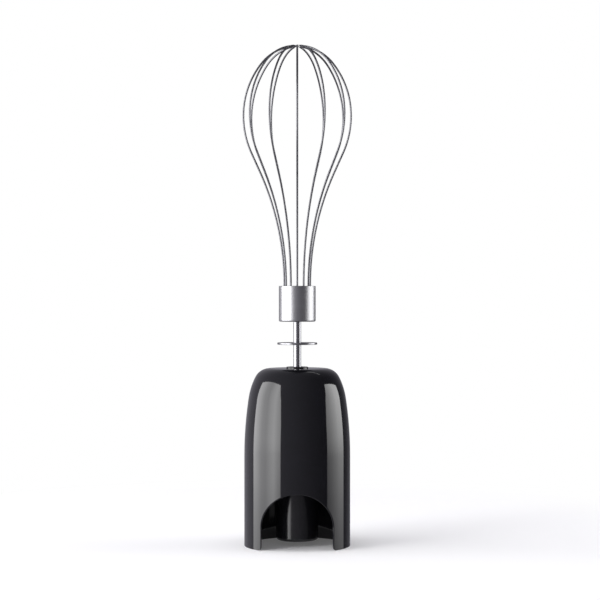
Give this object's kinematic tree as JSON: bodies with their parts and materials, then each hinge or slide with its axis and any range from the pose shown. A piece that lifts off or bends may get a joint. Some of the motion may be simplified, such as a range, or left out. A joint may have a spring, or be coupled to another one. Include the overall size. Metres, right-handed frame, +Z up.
{
  "type": "hand blender whisk attachment",
  "caption": "Balloon wire whisk with steel shaft, disc and collar, plugged into a black round gear coupling for a hand blender's motor body, standing on the coupling's open rim.",
  "frame": {"origin": "centre of the rim plane that the coupling stands on, on the shaft's axis", "axes": "+Z up the shaft to the whisk's crown; -Y is the front, where the coupling has its arch; +X to the right seen from the front"},
  "size_m": [0.056, 0.056, 0.2549],
  "materials": {
    "shell_plastic": "polished black ABS",
    "spigot_plastic": "moulded black",
    "coupling_plastic": "moulded dark grey",
    "case_plastic": "glass-filled grey",
    "gear_plastic": "natural acetal",
    "bush_bronze": "sintered bronze",
    "turned_steel": "turned",
    "collar_steel": "finely brushed",
    "wire_steel": "drawn and polished",
    "core_plastic": "moulded black",
    "spring_steel": "blued",
    "screw_steel": "zinc plated",
    "seal_rubber": "matt"
  },
  "bodies": {
    "housing": {"housing_shell": "shell_plastic", "drive_spigot": "spigot_plastic", "flange_seal": "seal_rubber", "flange_screws": "screw_steel", "input_bush": "bush_bronze", "wear_plate": "turned_steel", "ring_gear_case": "case_plastic", "gear_case_cover": "case_plastic", "cover_screws": "screw_steel", "output_bush": "bush_bronze", "shaft_seal": "seal_rubber", "nose_ring": "spigot_plastic"},
    "drive_input": {"input_shaft": "turned_steel", "drive_coupling": "coupling_plastic", "lower_thrust_washer": "turned_steel", "upper_thrust_washer": "turned_steel", "first_sun_gear": "gear_plastic"},
    "first_stage": {"first_carrier": "gear_plastic", "first_planet_pins": "turned_steel", "second_sun_gear": "gear_plastic"},
    "output": {"output_carrier": "turned_steel", "second_planet_pins": "turned_steel", "output_hub": "turned_steel", "output_washer": "bush_bronze", "output_circlip": "spring_steel", "retaining_clip": "spring_steel"},
    "whisk": {"whisk_shaft": "turned_steel", "stop_disc": "turned_steel", "collar": "collar_steel", "wire_core": "core_plastic", "wire_loop_1": "wire_steel", "wire_loop_2": "wire_steel", "wire_loop_3": "wire_steel", "wire_loop_4": "wire_steel", "wire_loop_5": "wire_steel", "wire_loop_6": "wire_steel"},
    "first_planet_1": {"first_planet_1": "gear_plastic"},
    "second_planet_1": {"second_planet_1": "gear_plastic"},
    "first_planet_2": {"first_planet_2": "gear_plastic"},
    "second_planet_2": {"second_planet_2": "gear_plastic"},
    "first_planet_3": {"first_planet_3": "gear_plastic"},
    "second_planet_3": {"second_planet_3": "gear_plastic"}
  },
  "joints": [
    {"name": "output_spin", "type": "hinge", "parent": "housing", "child": "output", "pos_m": [0, 0, 0.07], "axis": [0, 0, 1], "continuous": true},
    {"name": "input_spin", "type": "hinge", "parent": "housing", "child": "drive_input", "pos_m": [0, 0, 0.03], "axis": [0, 0, 1], "continuous": true},
    {"name": "first_stage_spin", "type": "hinge", "parent": "housing", "child": "first_stage", "pos_m": [0, 0, 0.052], "axis": [0, 0, 1], "continuous": true},
    {"name": "first_planet_1_spin", "type": "hinge", "parent": "first_stage", "child": "first_planet_1", "pos_m": [0, 0.0099, 0.0465], "axis": [0, 0, 1], "continuous": true},
    {"name": "second_planet_1_spin", "type": "hinge", "parent": "output", "child": "second_planet_1", "pos_m": [0, 0.0099, 0.0573], "axis": [0, 0, 1], "continuous": true},
    {"name": "first_planet_2_spin", "type": "hinge", "parent": "first_stage", "child": "first_planet_2", "pos_m": [-0.00857, -0.00495, 0.0465], "axis": [0, 0, 1], "continuous": true},
    {"name": "second_planet_2_spin", "type": "hinge", "parent": "output", "child": "second_planet_2", "pos_m": [-0.00857, -0.00495, 0.0573], "axis": [0, 0, 1], "continuous": true},
    {"name": "first_planet_3_spin", "type": "hinge", "parent": "first_stage", "child": "first_planet_3", "pos_m": [0.00857, -0.00495, 0.0465], "axis": [0, 0, 1], "continuous": true},
    {"name": "second_planet_3_spin", "type": "hinge", "parent": "output", "child": "second_planet_3", "pos_m": [0.00857, -0.00495, 0.0573], "axis": [0, 0, 1], "continuous": true},
    {"name": "whisk_pull", "type": "slide", "parent": "output", "child": "whisk", "axis": [0, 0, 1], "range_m": [0, 0.04]}
  ],
  "couplings": [
    {"joint": "input_spin", "follows": "output_spin", "ratio": 13.444},
    {"joint": "first_stage_spin", "follows": "output_spin", "ratio": 3.6667},
    {"joint": "first_planet_1_spin", "follows": "output_spin", "ratio": -11.733},
    {"joint": "second_planet_1_spin", "follows": "output_spin", "ratio": -3.2},
    {"joint": "first_planet_2_spin", "follows": "output_spin", "ratio": -11.733},
    {"joint": "second_planet_2_spin", "follows": "output_spin", "ratio": -3.2},
    {"joint": "first_planet_3_spin", "follows": "output_spin", "ratio": -11.733},
    {"joint": "second_planet_3_spin", "follows": "output_spin", "ratio": -3.2}
  ]
}
